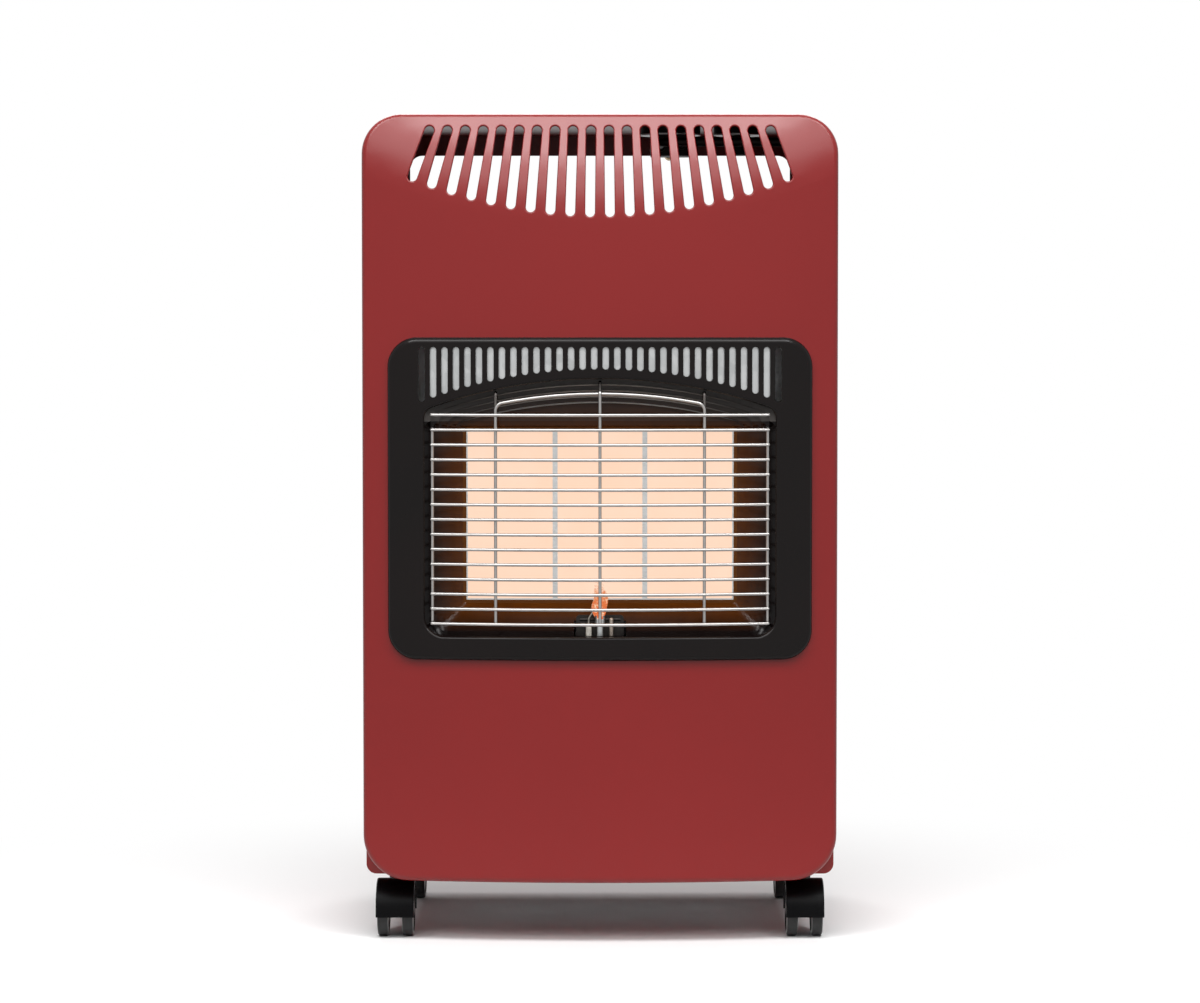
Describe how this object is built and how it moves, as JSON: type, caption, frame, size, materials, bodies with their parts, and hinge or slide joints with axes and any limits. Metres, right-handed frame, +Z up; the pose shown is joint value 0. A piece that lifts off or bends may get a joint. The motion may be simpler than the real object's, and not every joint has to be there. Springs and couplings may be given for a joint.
{
  "type": "infrared gas cabinet heater",
  "caption": "Free-standing infrared gas heater: bowed red cabinet with a fanned top grille, arched burner window behind a wire guard, lift-off back and twin-wheel casters.",
  "frame": {"origin": "on the floor, midway across the width and midway between the guard's front wires and the back of the rear cover", "axes": "+Z up, the burner faces -Y, +X to the right as seen from the front"},
  "size_m": [0.42, 0.365, 0.7375],
  "materials": {
    "red_enamel": "gloss red enamel on pressed steel",
    "black_enamel": "gloss black vitreous enamel",
    "galvanised_steel": "galvanised sheet",
    "zinc_steel": "zinc plated",
    "plated_wire": "bright plated wire",
    "plaque_ceramic": "glowing perforated ceramic",
    "aluminium": "cast and drawn",
    "brass": "turned",
    "dark_pipe": "black coated tube and casting",
    "probe_steel": "heat tinted",
    "porcelain": "glazed insulator",
    "black_plastic": "fine spark-eroded texture",
    "caster_plastic": "moulded black nylon",
    "wheel_plastic": "moulded black nylon",
    "axle_steel": "turned pin"
  },
  "bodies": {
    "cabinet": {"front_panel": "red_enamel", "cabinet_shell": "red_enamel", "burner_bezel": "black_enamel", "burner_cowl": "black_enamel", "base_tray": "galvanised_steel", "heat_shield": "galvanised_steel", "vent_plate": "galvanised_steel", "burner_frame": "galvanised_steel", "burner_box": "galvanised_steel", "well_discs": "galvanised_steel", "pilot_bracket": "galvanised_steel", "panel_screws": "zinc_steel", "burner_screws": "zinc_steel", "cover_studs": "zinc_steel", "caster_stems": "zinc_steel", "caster_nuts": "zinc_steel", "wire_guard": "plated_wire", "plaque_left": "plaque_ceramic", "plaque_centre": "plaque_ceramic", "plaque_right": "plaque_ceramic", "gas_manifold": "aluminium", "mixer_left": "aluminium", "mixer_centre": "aluminium", "mixer_right": "aluminium", "injectors": "brass", "hose_nozzle": "brass", "pilot_burner": "brass", "supply_pipe": "dark_pipe", "pilot_pipe": "dark_pipe", "gas_valve": "dark_pipe", "thermocouple": "probe_steel", "spark_electrode": "porcelain", "knob_well": "black_plastic", "igniter_well": "black_plastic", "igniter_body": "black_plastic"},
    "rear_cover": {"rear_cover": "red_enamel"},
    "valve_spindle": {"valve_spindle": "zinc_steel"},
    "control_knob": {"control_knob": "black_plastic"},
    "igniter_button": {"igniter_button": "black_plastic"},
    "caster_front_left": {"caster_hood_front_left": "caster_plastic", "caster_axle_front_left": "axle_steel"},
    "wheel_outer_front_left": {"caster_wheel_outer_front_left": "wheel_plastic"},
    "wheel_inner_front_left": {"caster_wheel_inner_front_left": "wheel_plastic"},
    "caster_front_right": {"caster_hood_front_right": "caster_plastic", "caster_axle_front_right": "axle_steel"},
    "wheel_outer_front_right": {"caster_wheel_outer_front_right": "wheel_plastic"},
    "wheel_inner_front_right": {"caster_wheel_inner_front_right": "wheel_plastic"},
    "caster_rear_left": {"caster_hood_rear_left": "caster_plastic", "caster_axle_rear_left": "axle_steel"},
    "wheel_outer_rear_left": {"caster_wheel_outer_rear_left": "wheel_plastic"},
    "wheel_inner_rear_left": {"caster_wheel_inner_rear_left": "wheel_plastic"},
    "caster_rear_right": {"caster_hood_rear_right": "caster_plastic", "caster_axle_rear_right": "axle_steel"},
    "wheel_outer_rear_right": {"caster_wheel_outer_rear_right": "wheel_plastic"},
    "wheel_inner_rear_right": {"caster_wheel_inner_rear_right": "wheel_plastic"}
  },
  "joints": [
    {"name": "cover_lift", "type": "slide", "parent": "cabinet", "child": "rear_cover", "axis": [0, 0, 1], "range_m": [0, 0.62]},
    {"name": "valve_turn", "type": "hinge", "parent": "cabinet", "child": "valve_spindle", "pos_m": [0.064, -0.032, 0.7103], "axis": [0, 0, 1], "range_deg": [-210, 0]},
    {"name": "knob_push", "type": "slide", "parent": "valve_spindle", "child": "control_knob", "axis": [0, 0, 1], "range_m": [-0.004, 0], "stiffness_N_per_m": 500, "springref_m": 0.004},
    {"name": "igniter_push", "type": "slide", "parent": "cabinet", "child": "igniter_button", "axis": [0, 0, 1], "range_m": [-0.006, 0], "stiffness_N_per_m": 600, "springref_m": 0.004},
    {"name": "swivel_front_left", "type": "hinge", "parent": "cabinet", "child": "caster_front_left", "pos_m": [-0.183, -0.0925, 0.045], "axis": [0, 0, 1], "continuous": true},
    {"name": "roll_outer_front_left", "type": "hinge", "parent": "caster_front_left", "child": "wheel_outer_front_left", "pos_m": [-0.183, -0.1095, 0.024], "axis": [1, 0, 0], "continuous": true},
    {"name": "roll_inner_front_left", "type": "hinge", "parent": "caster_front_left", "child": "wheel_inner_front_left", "pos_m": [-0.183, -0.1095, 0.024], "axis": [1, 0, 0], "continuous": true},
    {"name": "swivel_front_right", "type": "hinge", "parent": "cabinet", "child": "caster_front_right", "pos_m": [0.183, -0.0925, 0.045], "axis": [0, 0, 1], "continuous": true},
    {"name": "roll_outer_front_right", "type": "hinge", "parent": "caster_front_right", "child": "wheel_outer_front_right", "pos_m": [0.183, -0.1095, 0.024], "axis": [1, 0, 0], "continuous": true},
    {"name": "roll_inner_front_right", "type": "hinge", "parent": "caster_front_right", "child": "wheel_inner_front_right", "pos_m": [0.183, -0.1095, 0.024], "axis": [1, 0, 0], "continuous": true},
    {"name": "swivel_rear_left", "type": "hinge", "parent": "cabinet", "child": "caster_rear_left", "pos_m": [-0.183, 0.1242, 0.045], "axis": [0, 0, 1], "continuous": true},
    {"name": "roll_outer_rear_left", "type": "hinge", "parent": "caster_rear_left", "child": "wheel_outer_rear_left", "pos_m": [-0.183, 0.1072, 0.024], "axis": [1, 0, 0], "continuous": true},
    {"name": "roll_inner_rear_left", "type": "hinge", "parent": "caster_rear_left", "child": "wheel_inner_rear_left", "pos_m": [-0.183, 0.1072, 0.024], "axis": [1, 0, 0], "continuous": true},
    {"name": "swivel_rear_right", "type": "hinge", "parent": "cabinet", "child": "caster_rear_right", "pos_m": [0.183, 0.1242, 0.045], "axis": [0, 0, 1], "continuous": true},
    {"name": "roll_outer_rear_right", "type": "hinge", "parent": "caster_rear_right", "child": "wheel_outer_rear_right", "pos_m": [0.183, 0.1072, 0.024], "axis": [1, 0, 0], "continuous": true},
    {"name": "roll_inner_rear_right", "type": "hinge", "parent": "caster_rear_right", "child": "wheel_inner_rear_right", "pos_m": [0.183, 0.1072, 0.024], "axis": [1, 0, 0], "continuous": true}
  ]
}
